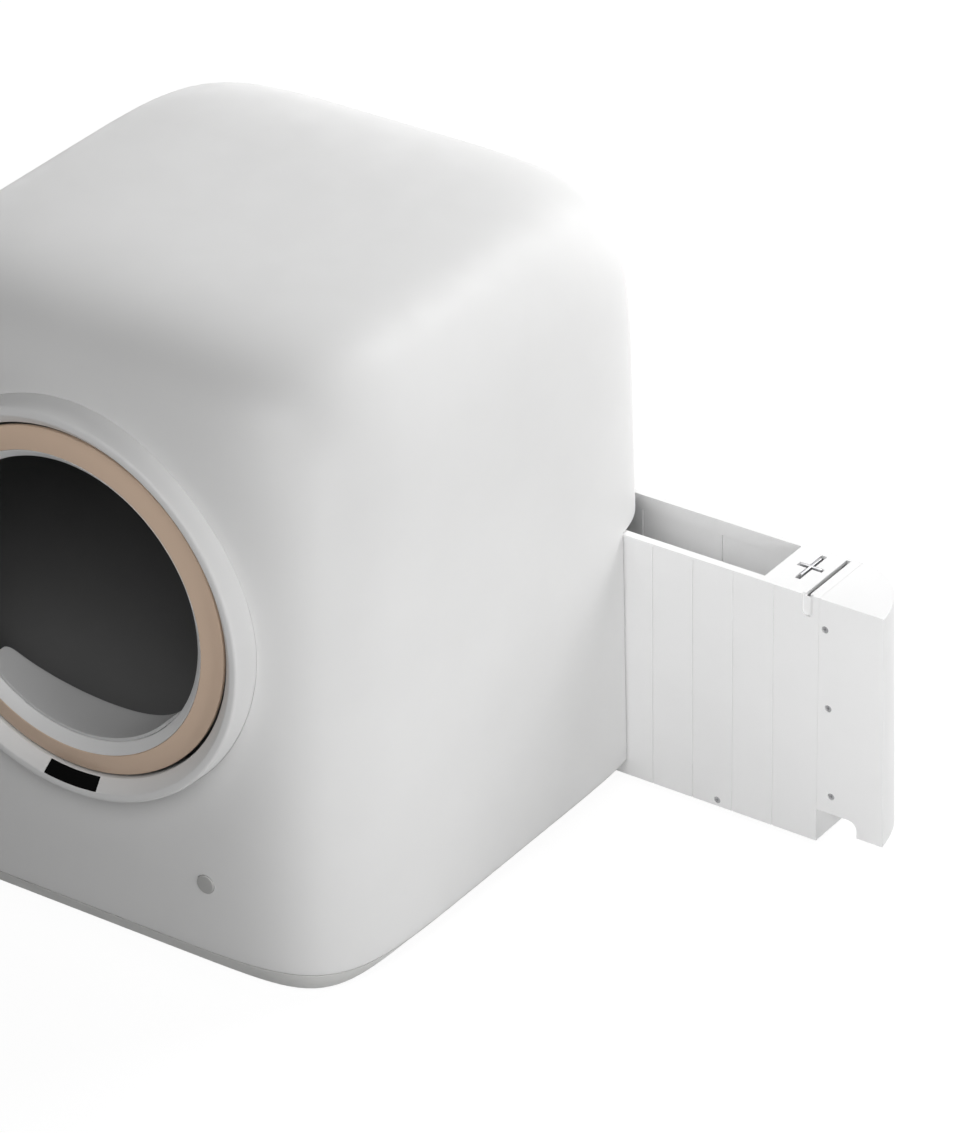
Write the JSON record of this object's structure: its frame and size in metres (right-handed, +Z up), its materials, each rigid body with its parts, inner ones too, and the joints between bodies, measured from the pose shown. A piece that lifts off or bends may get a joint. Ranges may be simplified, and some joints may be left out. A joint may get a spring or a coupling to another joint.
{
  "type": "self-cleaning litter box",
  "caption": "Rounded cube-shaped litter box with a turning drum behind a round mouth and a slim waste drawer pulled out of its rear right corner.",
  "frame": {"origin": "middle of the casing's plan, on the surface that the feet stand on", "axes": "+X to the right seen from the mouth, the way the drawer opens; +Y from the mouth to the back; +Z up"},
  "size_m": [0.7194, 0.5057, 0.54],
  "materials": {
    "white_shell": "satin moulded white plastic",
    "white_bin": "satin moulded white plastic",
    "white_inner": "plain moulded white plastic",
    "grey_plastic": "satin moulded grey plastic",
    "dark_drum": "matte dark grey plastic",
    "beige_trim": "satin painted beige ring",
    "black_window": "gloss black plastic",
    "button_grey": "satin grey plastic",
    "pinion_plastic": "natural acetal",
    "motor_metal": "plated sheet steel",
    "screw_steel": "plated steel",
    "black_rubber": "matte rubber",
    "board_green": "green circuit board"
  },
  "bodies": {
    "housing": {"outer_shell": "white_shell", "base_plate": "white_shell", "front_collar": "white_shell", "display_window": "black_window", "outlet_seal": "black_rubber", "gearbox": "motor_metal", "motor_can": "motor_metal", "motor_bracket": "motor_metal", "motor_screws": "screw_steel", "roller_pins": "screw_steel", "roller_brackets": "white_inner", "rear_bulkhead": "white_inner", "waste_chute": "white_inner", "drawer_runners": "white_inner", "button_spring": "screw_steel", "button_switch": "black_window", "control_board": "board_green", "display_board": "board_green", "power_inlet": "black_window", "inlet_pin": "screw_steel", "load_cells": "motor_metal", "feet": "black_rubber", "shell_screws": "screw_steel"},
    "drum": {"trim_ring": "beige_trim", "mouth_rim": "white_shell", "litter_guard": "grey_plastic", "drum_front_shell": "dark_drum", "drum_rear_shell": "dark_drum", "drum_gear": "white_inner", "sifting_screen": "grey_plastic", "waste_scoop": "grey_plastic", "drum_screws": "screw_steel"},
    "pinion": {"drive_pinion": "pinion_plastic", "motor_shaft": "screw_steel"},
    "front_left_roller": {"roller_front_left": "black_rubber"},
    "front_right_roller": {"roller_front_right": "black_rubber"},
    "rear_left_roller": {"roller_rear_left": "black_rubber"},
    "rear_right_roller": {"roller_rear_right": "black_rubber"},
    "drawer": {"waste_bin": "white_bin", "bin_end_cap": "white_bin", "cap_screws": "screw_steel", "latch_spring": "screw_steel"},
    "latch": {"latch_blade": "screw_steel"},
    "button": {"power_button": "button_grey"}
  },
  "joints": [
    {"name": "drum_turn", "type": "hinge", "parent": "housing", "child": "drum", "pos_m": [0, 0, 0.303], "axis": [0, 1, 0], "continuous": true},
    {"name": "pinion_turn", "type": "hinge", "parent": "housing", "child": "pinion", "pos_m": [-0.16971, 0.137, 0.13329], "axis": [0, 1, 0], "continuous": true},
    {"name": "front_left_roller_turn", "type": "hinge", "parent": "housing", "child": "front_left_roller", "pos_m": [-0.10965, -0.115, 0.11308], "axis": [0, 1, 0], "continuous": true},
    {"name": "front_right_roller_turn", "type": "hinge", "parent": "housing", "child": "front_right_roller", "pos_m": [0.10965, -0.115, 0.11308], "axis": [0, 1, 0], "continuous": true},
    {"name": "rear_left_roller_turn", "type": "hinge", "parent": "housing", "child": "rear_left_roller", "pos_m": [-0.10965, 0.095, 0.11308], "axis": [0, 1, 0], "continuous": true},
    {"name": "rear_right_roller_turn", "type": "hinge", "parent": "housing", "child": "rear_right_roller", "pos_m": [0.10965, 0.095, 0.11308], "axis": [0, 1, 0], "continuous": true},
    {"name": "drawer_slide", "type": "slide", "parent": "housing", "child": "drawer", "axis": [1, 0, 0], "range_m": [-0.244, 0.09]},
    {"name": "latch_press", "type": "slide", "parent": "drawer", "child": "latch", "axis": [0, 0, 1], "range_m": [-0.005, 0], "stiffness_N_per_m": 300, "deforming": ["latch_spring"]},
    {"name": "button_press", "type": "slide", "parent": "housing", "child": "button", "axis": [0, 1, 0], "range_m": [0, 0.0015], "stiffness_N_per_m": 400, "deforming": ["button_spring"]}
  ],
  "couplings": [
    {"joint": "pinion_turn", "follows": "drum_turn", "ratio": -7},
    {"joint": "front_left_roller_turn", "follows": "drum_turn", "ratio": -17.25},
    {"joint": "front_right_roller_turn", "follows": "drum_turn", "ratio": -17.25},
    {"joint": "rear_left_roller_turn", "follows": "drum_turn", "ratio": -17.25},
    {"joint": "rear_right_roller_turn", "follows": "drum_turn", "ratio": -17.25}
  ]
}
